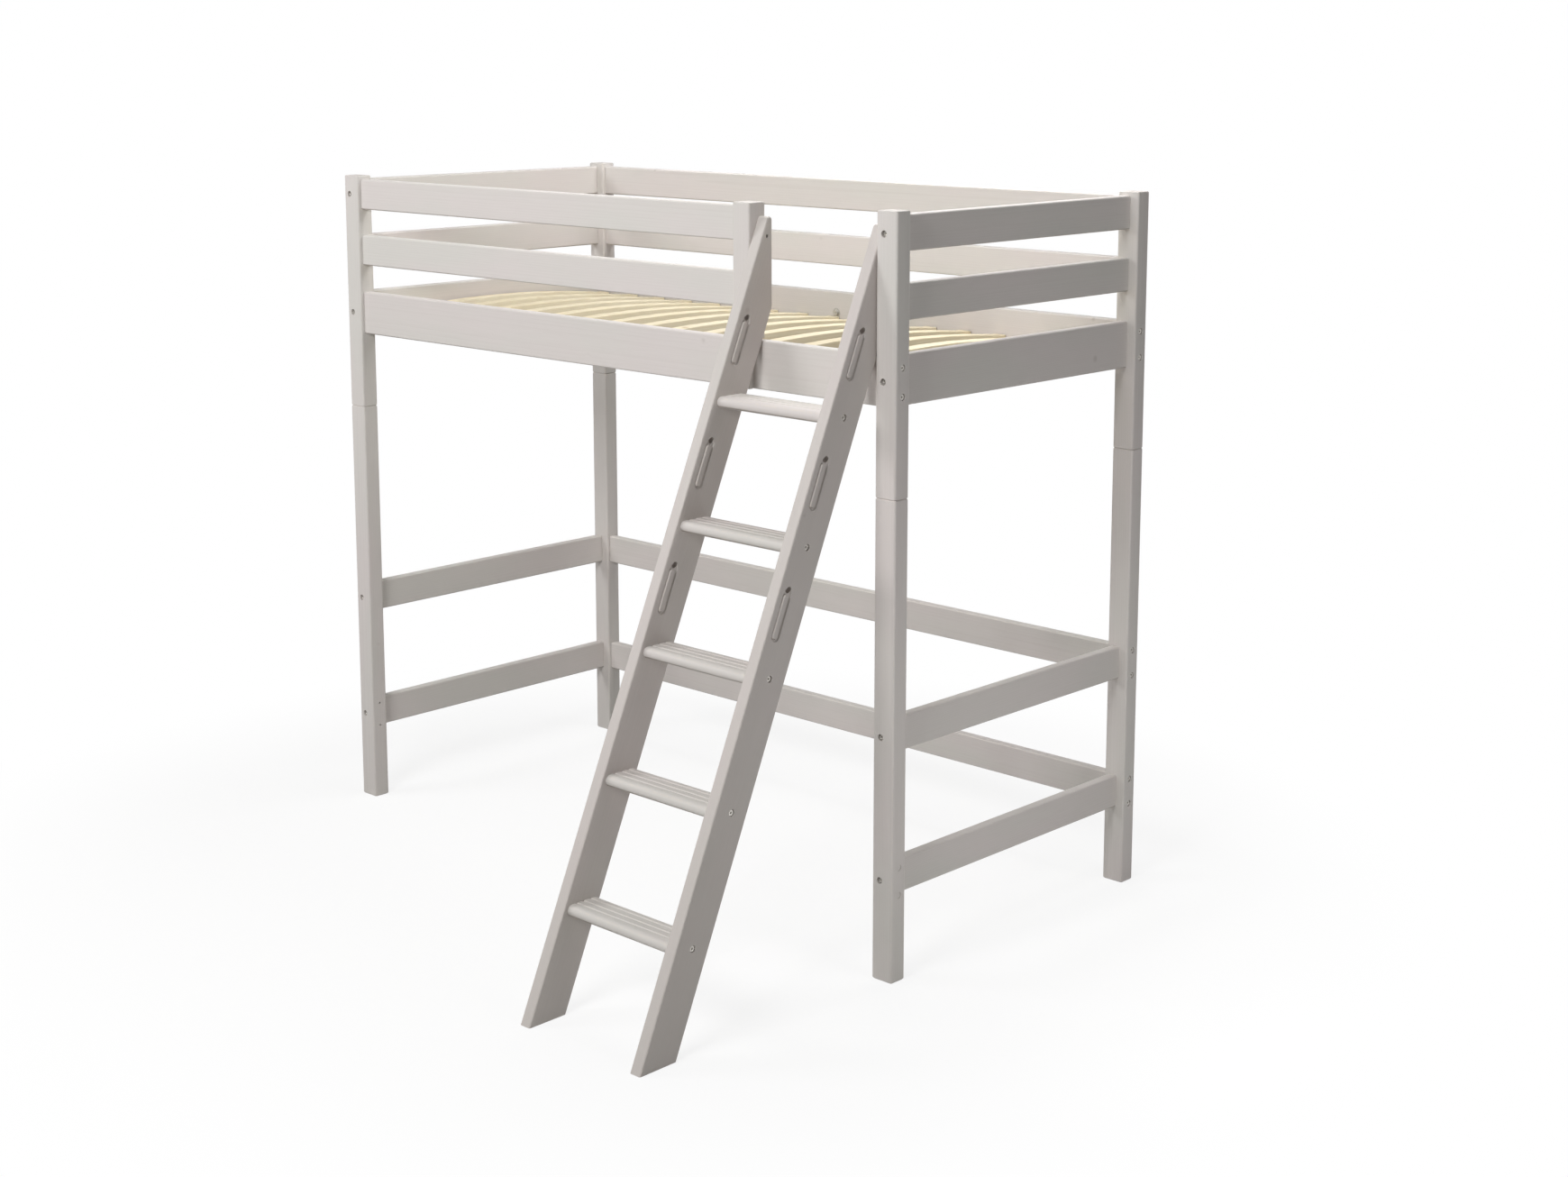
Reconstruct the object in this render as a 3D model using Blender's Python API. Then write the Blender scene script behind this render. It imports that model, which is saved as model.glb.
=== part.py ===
"""Loft bed of grey-washed pine: four divided posts, rails, guard rails, a leaning ladder and a slatted base.

Metres, +Z up. X runs along the bed and Y from the ladder side to the wall side. Pieces are laid out from the
outer front left corner of the posts, and an empty moves them all so that the origin lies on the floor under
the middle of the whole object, ladder included.
"""

from math import atan, cos, pi, radians, sin, tan

import bmesh
import bpy
from mathutils import Matrix, Vector

# Bed frame
BED_LENGTH = 2.100
BED_WIDTH = 0.990

# Fits between separate pieces
SEAT_GAP = 0.0003
PIN_CLEARANCE = 0.0003
CUT_OVERRUN = 0.004

# Posts, each in two lengths with a pin through the seam
POST_X = 0.063
POST_Y = 0.049
POST_EDGE_RADIUS = 0.006
POST_END_EASING = 0.0025
LOWER_POST_LENGTH = 1.1785
SEAM_PIN_RADIUS = 0.007
SEAM_PIN_LENGTH = 0.110

# Rails, from the floor up
RAIL_THICKNESS = 0.028
RAIL_HEIGHT = 0.086
RAIL_EDGE_RADIUS = 0.005
END_RAIL_INSET = 0.0235
FOOT_RAIL_BOTTOM = 0.208
FOOT_RAIL_GAP = 0.2675
BED_RAIL_BOTTOM = 1.3925
BED_RAIL_HEIGHT = 0.121
LOWER_GUARD_GAP = 0.0775
UPPER_GUARD_GAP = 0.074
POST_ABOVE_RAIL = 0.010

# Bolts through the posts into the rail ends
BOLT_RADIUS = 0.003
BOLT_COUNTERBORE_RADIUS = 0.0085
BOLT_COUNTERBORE_DEPTH = 0.010
BOLT_DEPTH_IN_RAIL = 0.045
BOLT_PAIR_OFFSET = 0.034

# Beech dowels glued into the rail ends
DOWEL_RADIUS = 0.004
DOWEL_OFFSET = 0.020
BOARD_DOWEL_OFFSET = 0.042
DOWEL_LENGTH_OUT = 0.015

# Square stile that ends the front guard rails and carries the ladder
STILE_SIDE = 0.057
STILE_DROP = 0.002
STILE_BOLT_OFFSET = 0.030
STILE_COUNTERBORE_DEPTH = 0.005
STILE_BOLT_DEPTH = 0.020

# Ladder stringers
LADDER_WIDTH = 0.4035
LADDER_REACH = 0.7615
STRINGER_THICKNESS = 0.033
STRINGER_RUN = 0.111
STRINGER_DROP = 0.035
STRINGER_BACK_INSET = 0.0065
STRINGER_TIP_WIDTH = 0.0152
STRINGER_TIP_FLAT = 0.0003
STRINGER_EDGE_RADIUS = 0.004
LADDER_BOLT_DROP = 0.047
LADDER_BOLT_SINK = 0.006
LADDER_BOLT_HEAD_RADIUS = 0.004
LADDER_BOLT_HEAD_HEIGHT = 0.004
LADDER_BOLT_DEPTH = 0.030
LADDER_BOLT_SOCKET_RADIUS = 0.002
LADDER_BOLT_SOCKET_DEPTH = 0.002

# Treads of the ladder
TREAD_COUNT = 5
TREAD_FIRST_TOP = 0.2615
TREAD_PITCH = 0.283
TREAD_THICKNESS = 0.028
TREAD_DEPTH = 0.088
TREAD_NOSE_SETBACK = 0.007
TREAD_BACK_RADIUS = 0.006
TREAD_DOWEL_SETBACK = 0.024
GROOVE_COUNT = 3
GROOVE_PITCH = 0.021
GROOVE_WIDTH = 0.008
GROOVE_FLOOR_WIDTH = 0.003
GROOVE_DEPTH = 0.0018
GROOVE_FROM_BACK = 0.019

# Oblong recesses in the stringers, each with a hole at its upper end
RECESS_COUNT = 3
RECESS_HOLE_RADIUS = 0.008
RECESS_HOLE_ABOVE_TREAD = 0.1805
RECESS_SETBACK = 0.0335
RECESS_BELOW_HOLE = 0.009
RECESS_FALL = 0.100
RECESS_WIDTH = 0.0255
RECESS_DEPTH = 0.004
RECESS_FLOOR_RADIUS = 0.0025
RECESS_RIM_WIDTH = 0.002
RECESS_RIM_DEPTH = 0.001

# Slatted base
SLAT_COUNT = 17
SLAT_WIDTH = 0.042
SLAT_THICKNESS = 0.019
SLAT_CROWN = 0.024
SLAT_EDGE_CHAMFER = 0.002
SLAT_SEAT_LENGTH = 0.016
SLAT_END_CLEARANCE = 0.003
SLAT_SIDE_CLEARANCE = 0.009
SLAT_SEAT_DROP = 0.090
BATTEN_WIDTH = 0.030
BATTEN_HEIGHT = 0.028
BATTEN_END_CLEARANCE = 0.003
BATTEN_EDGE_RADIUS = 0.003

# Middle bolt of the wall side bed rail, seen on its inner face
MIDDLE_BOLT_RADIUS = 0.009
MIDDLE_BOLT_DEPTH = 0.003

# How finely round shapes are cut
EDGE_SEGMENTS = 2
TIP_SEGMENTS = 3
NOSE_SEGMENTS = 8
COUNTERBORE_SIDES = 12
BORE_SIDES = 6
PIN_SIDES = 12
HEX_SIDES = 6
RECESS_END_SEGMENTS = 6
SLAT_SEGMENTS = 8
ROUND_PROFILE = 0.5
SHARP_ANGLE = radians(50)

# Heights that follow from the sizes above
FOOT_RAIL_CENTRE = FOOT_RAIL_BOTTOM + RAIL_HEIGHT / 2
LOWER_RAIL_CENTRE = FOOT_RAIL_CENTRE + RAIL_HEIGHT + FOOT_RAIL_GAP
BED_RAIL_CENTRE = BED_RAIL_BOTTOM + BED_RAIL_HEIGHT / 2
BED_RAIL_TOP = BED_RAIL_BOTTOM + BED_RAIL_HEIGHT
MIDDLE_RAIL_CENTRE = BED_RAIL_TOP + LOWER_GUARD_GAP + RAIL_HEIGHT / 2
TOP_RAIL_CENTRE = MIDDLE_RAIL_CENTRE + RAIL_HEIGHT + UPPER_GUARD_GAP
POST_TOP = TOP_RAIL_CENTRE + RAIL_HEIGHT / 2 + POST_ABOVE_RAIL
BATTEN_TOP = BED_RAIL_TOP - SLAT_SEAT_DROP

# Places across the bed
RAIL_PLANE_FRONT = POST_Y / 2
RAIL_PLANE_BACK = BED_WIDTH - POST_Y / 2
LONG_RAIL_START = POST_X + SEAT_GAP
LONG_RAIL_END = BED_LENGTH - POST_X - SEAT_GAP
STILE_RIGHT = BED_LENGTH - POST_X - LADDER_WIDTH
STILE_LEFT = STILE_RIGHT - STILE_SIDE

# Lean of the ladder: its front edge runs from the foot to the tip, whose two arcs leave a small flat between them
STRINGER_TOP = POST_TOP - STRINGER_DROP
STRINGER_BACK = POST_Y - STRINGER_BACK_INSET
STRINGER_TIP_FRONT = STRINGER_BACK - STRINGER_TIP_WIDTH
LEAN_RATIO = (LADDER_REACH + STRINGER_TIP_FRONT) / STRINGER_TOP
LEAN_ANGLE = atan(LEAN_RATIO)
STRINGER_TIP_RADIUS = (STRINGER_TIP_WIDTH - STRINGER_TIP_FLAT) / (1 + tan(pi / 4 - LEAN_ANGLE / 2))
LADDER_BOLT_HEIGHT = STRINGER_TOP - LADDER_BOLT_DROP
TREAD_LENGTH = LADDER_WIDTH - 2 * STRINGER_THICKNESS - 4 * SEAT_GAP

BORE_RADIUS = BOLT_RADIUS + PIN_CLEARANCE
SOCKET_RADIUS = DOWEL_RADIUS + PIN_CLEARANCE
SOCKET_DEPTH = DOWEL_LENGTH_OUT + PIN_CLEARANCE

AXIS_X = Vector((1, 0, 0))
AXIS_Y = Vector((0, 1, 0))
AXIS_Z = Vector((0, 0, 1))

# Rails of an end, from the floor up: name, centre height, rail height, whether a bolt holds it, dowel offset
END_RAILS = (
    ("foot_rail", FOOT_RAIL_CENTRE, RAIL_HEIGHT, True, DOWEL_OFFSET),
    ("lower_rail", LOWER_RAIL_CENTRE, RAIL_HEIGHT, True, DOWEL_OFFSET),
    ("board", BED_RAIL_CENTRE, BED_RAIL_HEIGHT, True, BOARD_DOWEL_OFFSET),
    ("middle_rail", MIDDLE_RAIL_CENTRE, RAIL_HEIGHT, False, DOWEL_OFFSET),
    ("top_rail", TOP_RAIL_CENTRE, RAIL_HEIGHT, True, DOWEL_OFFSET),
)


def front_line(height):
    """How far back the ladder's front edge lies at a height."""
    return -LADDER_REACH + LEAN_RATIO * height


def hex_colour(code):
    """Linear colour of an sRGB hex code."""
    shares = [int(code[i : i + 2], 16) / 255 for i in (0, 2, 4)]
    return [s / 12.92 if s <= 0.04045 else ((s + 0.055) / 1.055) ** 2.4 for s in shares] + [1.0]


def finish(name, code, roughness, metallic=0.0):
    """Material of one colour and sheen."""
    material = bpy.data.materials.new(name)
    material.use_nodes = True
    shader = material.node_tree.nodes["Principled BSDF"]
    shader.inputs["Base Color"].default_value = hex_colour(code)
    shader.inputs["Roughness"].default_value = roughness
    shader.inputs["Metallic"].default_value = metallic
    return material


def clear_scene():
    for thing in list(bpy.data.objects):
        bpy.data.objects.remove(thing, do_unlink=True)


def rounded_rectangle(width, height, radius, segments):
    """Outline of a rectangle about zero, each corner an arc."""
    points = []
    for corner, (side, rise) in enumerate(((1, 1), (-1, 1), (-1, -1), (1, -1))):
        for step in range(segments + 1):
            angle = (corner + step / segments) * pi / 2
            across = side * (width / 2 - radius) + radius * cos(angle)
            up = rise * (height / 2 - radius) + radius * sin(angle)
            points.append((across, up))
    return points


def filleted(corners, segments):
    """Outline through corners given as (across, up, radius), with an arc at each corner that has a radius."""
    points = []
    for index, (across, up, radius) in enumerate(corners):
        here = Vector((across, up))
        if radius == 0:
            points.append((across, up))
            continue
        before = (Vector(corners[index - 1][:2]) - here).normalized()
        after = (Vector(corners[(index + 1) % len(corners)][:2]) - here).normalized()
        half_angle = before.angle(after) / 2
        centre = here + (before + after).normalized() * radius / sin(half_angle)
        start = here + before * radius / tan(half_angle) - centre
        turn = start.angle_signed(here + after * radius / tan(half_angle) - centre)
        for step in range(segments + 1):
            arm = Matrix.Rotation(-turn * step / segments, 2) @ start
            points.append(tuple(centre + arm))
    return points


def prism(outline, axis, length):
    """Closed bar of this outline, running length / 2 each way along the axis."""
    order = {"X": (2, 0, 1), "Y": (0, 2, 1), "Z": (0, 1, 2)}[axis]
    shape = bmesh.new()
    rings = []
    for along in (-length / 2, length / 2):
        ring = []
        for across, up in outline:
            triple = (across, up, along)
            ring.append(shape.verts.new([triple[i] for i in order]))
        rings.append(ring)
    close_rings(shape, rings)
    return shape


def box(low, high):
    """Closed box between two corners."""
    shape = bmesh.new()
    rings = []
    for up in (low[2], high[2]):
        corners = ((low[0], low[1]), (high[0], low[1]), (high[0], high[1]), (low[0], high[1]))
        rings.append([shape.verts.new((across, deep, up)) for across, deep in corners])
    close_rings(shape, rings)
    return shape


def close_rings(shape, rings):
    """Skin a row of rings, each as fine as the next or a whole number of times finer, and cap both ends."""
    for first, second in zip(rings, rings[1:]):
        ratio = len(first) // len(second)
        for index, corner in enumerate(second):
            fan = [first[(ratio * index + step) % len(first)] for step in range(ratio + 1)]
            shape.faces.new((*fan, second[(index + 1) % len(second)], corner))
    shape.faces.new(rings[0])
    shape.faces.new(rings[-1])
    bmesh.ops.recalc_face_normals(shape, faces=shape.faces)


def ease_ends(shape, axis, radius):
    """Break the rims of a bar's two end faces."""
    index = "XYZ".index(axis)
    low = min(vertex.co[index] for vertex in shape.verts)
    high = max(vertex.co[index] for vertex in shape.verts)
    rims = []
    for edge in shape.edges:
        places = [vertex.co[index] for vertex in edge.verts]
        if max(places) == low or min(places) == high:
            rims.append(edge)
    bmesh.ops.bevel(shape, geom=rims, offset=radius, segments=1, affect="EDGES")


def rod(shape, start, direction, *steps):
    """Add a round bar to the shape, its steps given as (radius, length, sides) along the direction."""
    turn = AXIS_Z.rotation_difference(direction).to_matrix()
    rings = []
    distance = 0
    for radius, length, sides in steps:
        for place in (distance, distance + length):
            ring = []
            for side in range(sides):
                angle = (side + 0.5) * 2 * pi / sides
                arm = Vector((radius * cos(angle), radius * sin(angle), place))
                ring.append(shape.verts.new(start + turn @ arm))
            rings.append(ring)
        distance += length
    close_rings(shape, rings)


def put(name, shape, material, location, parent):
    """Turn a shape into a named object at its place."""
    mesh = bpy.data.meshes.new(name)
    shape.to_mesh(mesh)
    shape.free()
    return put_mesh(name, mesh, material, location, parent)


def put_mesh(name, mesh, material, location, parent):
    if not mesh.materials:
        mesh.materials.append(material)
    mesh.shade_smooth()
    mesh.set_sharp_from_angle(angle=SHARP_ANGLE)
    piece = bpy.data.objects.new(name, mesh)
    bpy.context.scene.collection.objects.link(piece)
    piece.location = location
    piece.parent = parent
    return piece


def combine(piece, shape, operation, label):
    """Cut a shape out of a piece, or join it on, with the shape in the piece's own frame."""
    mesh = bpy.data.meshes.new(piece.name + label)
    shape.to_mesh(mesh)
    shape.free()
    tool = bpy.data.objects.new(piece.name + label, mesh)
    bpy.context.scene.collection.objects.link(tool)
    tool.parent = piece
    tool.hide_render = True
    tool.display_type = "WIRE"
    modifier = piece.modifiers.new(label, "BOOLEAN")
    modifier.solver = "EXACT"
    modifier.operation = operation
    modifier.object = tool


def counterbored(shape, face_point, inward, depth, counterbore_depth=BOLT_COUNTERBORE_DEPTH):
    """Bolt hole right through a wall of this depth, with a counterbore in its outer face."""
    counterbore = (BOLT_COUNTERBORE_RADIUS, counterbore_depth + CUT_OVERRUN, COUNTERBORE_SIDES)
    bore = (BORE_RADIUS, depth - counterbore_depth + CUT_OVERRUN, BORE_SIDES)
    rod(shape, face_point - inward * CUT_OVERRUN, inward, counterbore, bore)


def blind(shape, face_point, inward, radius, depth, sides=BORE_SIDES):
    """Blind round hole from a face."""
    rod(shape, face_point - inward * CUT_OVERRUN, inward, (radius, depth + CUT_OVERRUN, sides))


def dowel_sockets(shape, face_point, inward, offset):
    """Two dowel sockets, one above and one below a point on a face."""
    for rise in (-offset, offset):
        blind(shape, face_point + AXIS_Z * rise, inward, SOCKET_RADIUS, SOCKET_DEPTH)


def dowel(shape, face_point, outward):
    """Dowel standing out of a face, with its root sunk a little so that it joins."""
    length = CUT_OVERRUN + DOWEL_LENGTH_OUT - SEAT_GAP
    rod(shape, face_point - outward * CUT_OVERRUN, outward, (DOWEL_RADIUS, length, BORE_SIDES))


def in_length(height, bottom, top):
    return bottom < height < top


def post(side, row, part, material, parent):
    """One length of a post, drilled for the rails that meet it."""
    bottom, top = (0, LOWER_POST_LENGTH - SEAT_GAP) if part == "lower" else (LOWER_POST_LENGTH, POST_TOP)
    to_inside = AXIS_X if side == "left" else -AXIS_X
    to_middle = AXIS_Y if row == "front" else -AXIS_Y
    centre_x = POST_X / 2 if side == "left" else BED_LENGTH - POST_X / 2
    centre_y = RAIL_PLANE_FRONT if row == "front" else RAIL_PLANE_BACK
    middle = (bottom + top) / 2
    shape = prism(rounded_rectangle(POST_X, POST_Y, POST_EDGE_RADIUS, EDGE_SEGMENTS), "Z", top - bottom)
    ease_ends(shape, "Z", POST_END_EASING)
    piece = put(f"{row}_{side}_{part}_post", shape, material, (centre_x, centre_y, middle), parent)

    holes = bmesh.new()
    end_rail_x = AXIS_X * (END_RAIL_INSET - POST_X / 2)
    for _, height, _, bolted, offset in END_RAILS:
        if not in_length(height, bottom, top):
            continue
        level = end_rail_x + AXIS_Z * (height - middle)
        if bolted:
            counterbored(holes, level - to_middle * POST_Y / 2, to_middle, POST_Y)
        dowel_sockets(holes, level + to_middle * POST_Y / 2, -to_middle, offset)
    bolt_levels = [FOOT_RAIL_CENTRE, BED_RAIL_CENTRE]
    if row == "back":
        bolt_levels.append(LOWER_RAIL_CENTRE)
    for height in bolt_levels:
        if not in_length(height, bottom, top):
            continue
        for rise in (-BOLT_PAIR_OFFSET, BOLT_PAIR_OFFSET):
            level = AXIS_Z * (height + rise - middle)
            counterbored(holes, level - to_inside * POST_X / 2, to_inside, POST_X)
    has_guard = row == "back" or side == "left"
    for height in (MIDDLE_RAIL_CENTRE, TOP_RAIL_CENTRE):
        if has_guard and in_length(height, bottom, top):
            level = AXIS_Z * (height - middle)
            dowel_sockets(holes, level + to_inside * POST_X / 2, -to_inside, DOWEL_OFFSET)
    if not has_guard and part == "upper":
        level = AXIS_Z * (LADDER_BOLT_HEIGHT - middle)
        face = level + to_inside * POST_X / 2
        blind(holes, face, -to_inside, BORE_RADIUS, LADDER_BOLT_DEPTH, COUNTERBORE_SIDES)
    seam = (top if part == "lower" else bottom) - middle
    into_post = -AXIS_Z if part == "lower" else AXIS_Z
    depth = SEAM_PIN_LENGTH / 2 + PIN_CLEARANCE
    blind(holes, AXIS_Z * seam, into_post, SEAM_PIN_RADIUS + PIN_CLEARANCE, depth, PIN_SIDES)
    combine(piece, holes, "DIFFERENCE", "_holes")


def seam_pin(side, row, material, parent):
    """Pin that lines up the two lengths of a post."""
    shape = bmesh.new()
    rod(shape, AXIS_Z * -SEAM_PIN_LENGTH / 2, AXIS_Z, (SEAM_PIN_RADIUS, SEAM_PIN_LENGTH, PIN_SIDES))
    centre_x = POST_X / 2 if side == "left" else BED_LENGTH - POST_X / 2
    centre_y = RAIL_PLANE_FRONT if row == "front" else RAIL_PLANE_BACK
    put(f"{row}_{side}_post_pin", shape, material, (centre_x, centre_y, LOWER_POST_LENGTH), parent)


def end_fixings(piece, along, half_length, bolt_rises, dowel_rises):
    """Bolt holes in both ends of a rail, and the dowels glued into them."""
    if bolt_rises:
        holes = bmesh.new()
        for way in (-1, 1):
            for rise in bolt_rises:
                end = along * way * half_length + AXIS_Z * rise
                blind(holes, end, -along * way, BORE_RADIUS, BOLT_DEPTH_IN_RAIL)
        combine(piece, holes, "DIFFERENCE", "_holes")
    if dowel_rises:
        dowels = bmesh.new()
        for way in (-1, 1):
            for rise in dowel_rises:
                end = along * way * half_length + AXIS_Z * rise
                dowel(dowels, end, along * way)
        combine(piece, dowels, "UNION", "_dowels")


def rail(name, axis, start, end, place, height, rail_height, bolts, dowels, material, parent):
    """Rail between two faces along X or Y, at this place across and this centre height."""
    length = end - start
    outline = rounded_rectangle(RAIL_THICKNESS, rail_height, RAIL_EDGE_RADIUS, EDGE_SEGMENTS)
    shape = prism(outline, axis, length)
    middle = (start + end) / 2
    location = (middle, place, height) if axis == "X" else (place, middle, height)
    piece = put(name, shape, material, location, parent)
    along = AXIS_X if axis == "X" else AXIS_Y
    end_fixings(piece, along, length / 2, bolts, dowels)
    return piece


def long_rails(material, parent):
    """Rails along the two long sides."""
    pair = (-BOLT_PAIR_OFFSET, BOLT_PAIR_OFFSET)
    dowels = (-DOWEL_OFFSET, DOWEL_OFFSET)
    guard_end = STILE_LEFT - SEAT_GAP
    whole = (LONG_RAIL_START, LONG_RAIL_END)
    guard = (LONG_RAIL_START, guard_end)
    front, back = RAIL_PLANE_FRONT, RAIL_PLANE_BACK
    for name, span, plane, height, rail_height, bolts, pins in (
        ("front_bed_rail", whole, front, BED_RAIL_CENTRE, BED_RAIL_HEIGHT, pair, ()),
        ("front_middle_guard_rail", guard, front, MIDDLE_RAIL_CENTRE, RAIL_HEIGHT, (), dowels),
        ("front_top_guard_rail", guard, front, TOP_RAIL_CENTRE, RAIL_HEIGHT, (), dowels),
        ("back_foot_rail", whole, back, FOOT_RAIL_CENTRE, RAIL_HEIGHT, pair, ()),
        ("back_lower_rail", whole, back, LOWER_RAIL_CENTRE, RAIL_HEIGHT, pair, ()),
        ("back_bed_rail", whole, back, BED_RAIL_CENTRE, BED_RAIL_HEIGHT, pair, ()),
        ("back_middle_guard_rail", whole, back, MIDDLE_RAIL_CENTRE, RAIL_HEIGHT, (), dowels),
        ("back_top_guard_rail", whole, back, TOP_RAIL_CENTRE, RAIL_HEIGHT, (), dowels),
    ):
        piece = rail(name, "X", *span, plane, height, rail_height, bolts, pins, material, parent)
        if name == "back_bed_rail":
            seat = bmesh.new()
            face = AXIS_Y * -RAIL_THICKNESS / 2 - AXIS_Y * CUT_OVERRUN
            rod(seat, face, AXIS_Y, (MIDDLE_BOLT_RADIUS, MIDDLE_BOLT_DEPTH + CUT_OVERRUN, COUNTERBORE_SIDES))
            combine(piece, seat, "DIFFERENCE", "_middle_seat")
        if name == "front_bed_rail":
            holes = bmesh.new()
            across = AXIS_X * ((STILE_LEFT + STILE_RIGHT) / 2 - sum(span) / 2)
            for rise in (-STILE_BOLT_OFFSET, STILE_BOLT_OFFSET):
                face = across + AXIS_Z * rise - AXIS_Y * RAIL_THICKNESS / 2
                blind(holes, face, AXIS_Y, BORE_RADIUS, STILE_BOLT_DEPTH)
            combine(piece, holes, "DIFFERENCE", "_stile_holes")


def end_rails(side, material, parent):
    """The five rails of one end, all the same distance from the left face of their posts."""
    place = END_RAIL_INSET if side == "left" else BED_LENGTH - POST_X + END_RAIL_INSET
    start = POST_Y + SEAT_GAP
    end = BED_WIDTH - POST_Y - SEAT_GAP
    for name, height, rail_height, bolted, offset in END_RAILS:
        bolts = (0,) if bolted else ()
        dowels = (-offset, offset)
        rail(f"{side}_end_{name}", "Y", start, end, place, height, rail_height, bolts, dowels, material, parent)


def stile(material, parent):
    """Square stile, lapped over the front bed rail and drilled for the guard rails and the ladder."""
    bottom = BED_RAIL_BOTTOM
    top = POST_TOP - STILE_DROP
    middle = (bottom + top) / 2
    outline = rounded_rectangle(STILE_SIDE, STILE_SIDE, POST_EDGE_RADIUS, EDGE_SEGMENTS)
    shape = prism(outline, "Z", top - bottom)
    ease_ends(shape, "Z", POST_END_EASING)
    place = ((STILE_LEFT + STILE_RIGHT) / 2, RAIL_PLANE_FRONT, middle)
    piece = put("guard_rail_stile", shape, material, place, parent)

    beyond = STILE_SIDE / 2 + CUT_OVERRUN
    cheek_back = -RAIL_THICKNESS / 2 - SEAT_GAP
    shoulder = BED_RAIL_TOP + SEAT_GAP - middle
    lap = box((-beyond, cheek_back, bottom - middle - CUT_OVERRUN), (beyond, beyond, shoulder))
    combine(piece, lap, "DIFFERENCE", "_lap")

    holes = bmesh.new()
    for height in (MIDDLE_RAIL_CENTRE, TOP_RAIL_CENTRE):
        level = AXIS_Z * (height - middle) - AXIS_X * STILE_SIDE / 2
        dowel_sockets(holes, level, AXIS_X, DOWEL_OFFSET)
    level = AXIS_Z * (LADDER_BOLT_HEIGHT - middle) + AXIS_X * STILE_SIDE / 2
    blind(holes, level, -AXIS_X, BORE_RADIUS, LADDER_BOLT_DEPTH, COUNTERBORE_SIDES)
    for rise in (-STILE_BOLT_OFFSET, STILE_BOLT_OFFSET):
        level = AXIS_Z * (BED_RAIL_CENTRE + rise - middle) - AXIS_Y * STILE_SIDE / 2
        cheek = (STILE_SIDE - RAIL_THICKNESS) / 2
        counterbored(holes, level, AXIS_Y, cheek, STILE_COUNTERBORE_DEPTH)
    combine(piece, holes, "DIFFERENCE", "_holes")


def tread_tops():
    return [TREAD_FIRST_TOP + index * TREAD_PITCH for index in range(TREAD_COUNT)]


def recess_levels():
    """Sections of a recess from its floor out: place through the stringer, and half the oblong's width there."""
    face = STRINGER_THICKNESS / 2
    floor = face - RECESS_DEPTH
    wall = RECESS_WIDTH / 2
    levels = []
    for step in range(EDGE_SEGMENTS + 1):
        angle = step / EDGE_SEGMENTS * pi / 2
        rise = RECESS_FLOOR_RADIUS * (1 - cos(angle))
        levels.append((floor + rise, wall - RECESS_FLOOR_RADIUS * (1 - sin(angle))))
    levels.append((face - RECESS_RIM_DEPTH, wall))
    levels.append((face, wall + RECESS_RIM_WIDTH))
    levels.append((face + CUT_OVERRUN, wall + RECESS_RIM_WIDTH))
    return levels


def recess_shape(hole_height):
    """Oblong recess down the stringer's lean from its hole, with a rounded floor and an eased rim."""
    shape = bmesh.new()
    rings = []
    for place, radius in recess_levels():
        ring = []
        for end, below in ((0, RECESS_BELOW_HOLE), (1, RECESS_BELOW_HOLE + RECESS_FALL)):
            for step in range(RECESS_END_SEGMENTS + 1):
                angle = pi * (end + step / RECESS_END_SEGMENTS)
                ring.append(shape.verts.new((place, radius * cos(angle), radius * sin(angle) - below)))
        rings.append(ring)
    close_rings(shape, rings)
    bmesh.ops.rotate(shape, verts=shape.verts, matrix=Matrix.Rotation(-LEAN_ANGLE, 3, "X"))
    hole = Vector((0, front_line(hole_height) + RECESS_SETBACK, hole_height))
    bmesh.ops.translate(shape, verts=shape.verts, vec=hole)
    return shape


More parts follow.
